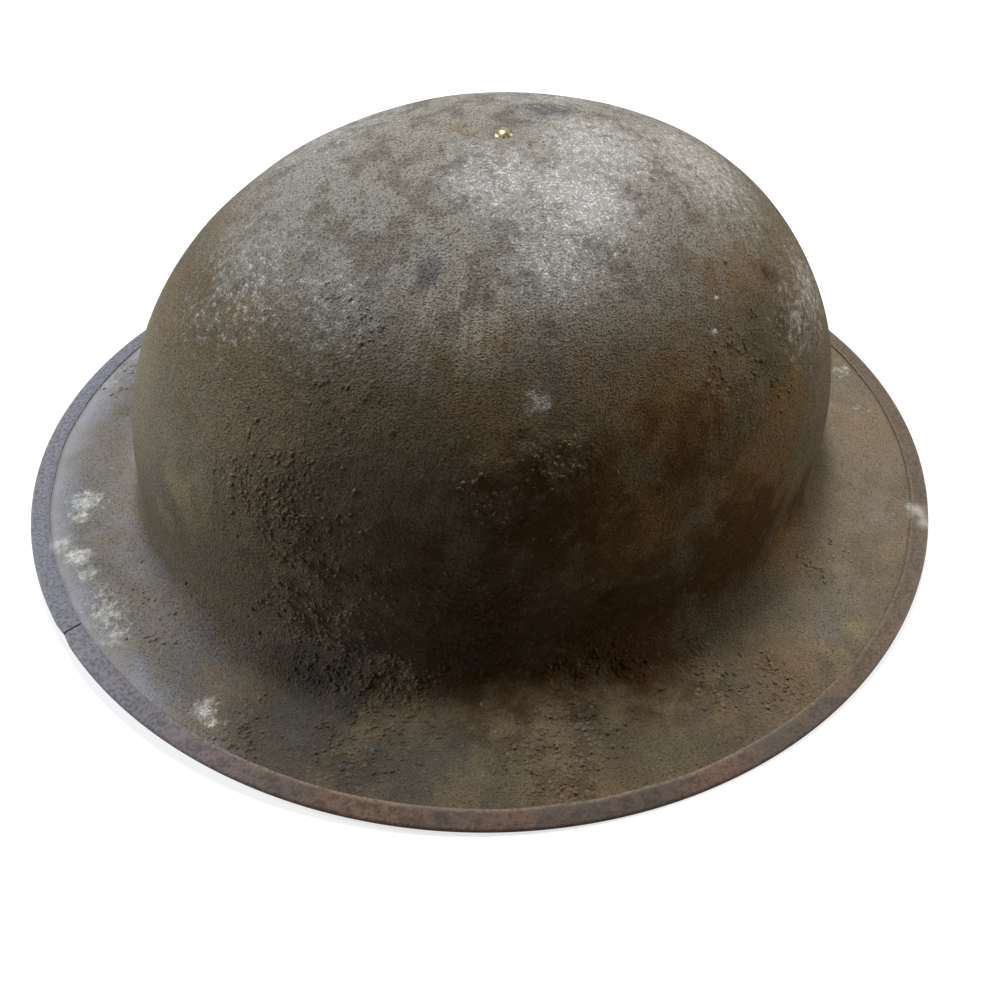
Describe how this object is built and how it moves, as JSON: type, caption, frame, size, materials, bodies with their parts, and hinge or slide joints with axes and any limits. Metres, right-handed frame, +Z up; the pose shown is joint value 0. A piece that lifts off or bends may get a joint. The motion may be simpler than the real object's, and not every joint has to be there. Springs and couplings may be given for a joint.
{
  "type": "steel soup-bowl helmet",
  "caption": "Steel helmet with a round dome, a broad flat brim with a folded rim band, a leather and net liner on rubber buffers, and a chinstrap on wire bails.",
  "frame": {"origin": "on the table under the middle of the brim, at the level of the flats worn on the underside of the rim band", "axes": "+X to the front, along the brim's length; +Y to the wearer's left; +Z up through the crown rivet"},
  "size_m": [0.3048, 0.2878, 0.1245],
  "materials": {
    "olive_painted_steel": "matt dark olive brown paint with sand in it, worn and stained",
    "worn_rim_steel": "dull grey brown, paint worn off the fold",
    "aged_brass": "aged, bright on the dome",
    "dull_steel": "dull and lightly rusted",
    "tinned_rivets": "tinned, dull",
    "grey_felt": "pressed felt",
    "brown_leather": "old brown leather, dark at the edges",
    "cotton_twine": "unbleached cotton twine",
    "black_rubber": "matt, perished"
  },
  "bodies": {
    "helmet": {"shell": "olive_painted_steel", "rim_band": "worn_rim_steel", "crown_rivet": "aged_brass", "crown_washer": "dull_steel", "crown_pad": "grey_felt", "long_crown_strap": "brown_leather", "cross_crown_strap": "brown_leather", "crown_strap_rivets": "tinned_rivets", "headband": "brown_leather", "net": "cotton_twine", "net_drawstring": "cotton_twine", "buffer_strip": "brown_leather", "rubber_buffers": "black_rubber", "buffer_rivets": "tinned_rivets", "left_lug_rivet": "olive_painted_steel", "right_lug_rivet": "olive_painted_steel"},
    "left_lug": {"left_lug": "dull_steel"},
    "right_lug": {"right_lug": "dull_steel"},
    "left_bail": {"left_bail": "dull_steel"},
    "right_bail": {"right_bail": "dull_steel"},
    "chinstrap": {"chinstrap_short": "brown_leather", "chinstrap_long": "brown_leather", "left_loop_rivet": "aged_brass", "right_loop_rivet": "aged_brass"},
    "buckle": {"slide_buckle": "dull_steel"},
    "keeper": {"strap_keeper": "brown_leather"}
  },
  "joints": [
    {"name": "chinstrap_swing", "type": "hinge", "parent": "helmet", "child": "left_lug", "pos_m": [0, 0.09196, 0.029], "axis": [0, -1, 0], "range_deg": [0, 150]},
    {"name": "right_lug_swing", "type": "hinge", "parent": "helmet", "child": "right_lug", "pos_m": [0, -0.09196, 0.029], "axis": [0, -1, 0], "range_deg": [0, 150]},
    {"name": "left_bail_swing", "type": "hinge", "parent": "left_lug", "child": "left_bail", "pos_m": [-0.00934, 0.08951, 0.02729], "axis": [-0.18, 0, 0.9837], "range_deg": [-8, 8]},
    {"name": "right_bail_swing", "type": "hinge", "parent": "right_lug", "child": "right_bail", "pos_m": [-0.00934, -0.08951, 0.02729], "axis": [-0.18, 0, 0.9837], "range_deg": [-8, 8]},
    {"name": "chinstrap_sway", "type": "hinge", "parent": "left_bail", "child": "chinstrap", "pos_m": [-0.01982, 0.08206, 0.02537], "axis": [-0.18, 0, 0.9837], "range_deg": [-9, 9]},
    {"name": "buckle_slide", "type": "slide", "parent": "chinstrap", "child": "buckle", "axis": [-0.9093, -0.3814, -0.1664], "range_m": [-0.007, 0.008]},
    {"name": "keeper_slide", "type": "slide", "parent": "chinstrap", "child": "keeper", "axis": [-0.9093, -0.3814, -0.1664], "range_m": [-0.005, 0.008]}
  ],
  "couplings": [
    {"joint": "right_lug_swing", "follows": "chinstrap_swing", "ratio": 1},
    {"joint": "right_bail_swing", "follows": "left_bail_swing", "ratio": 1},
    {"joint": "chinstrap_sway", "follows": "left_bail_swing", "ratio": -1.0909}
  ]
}
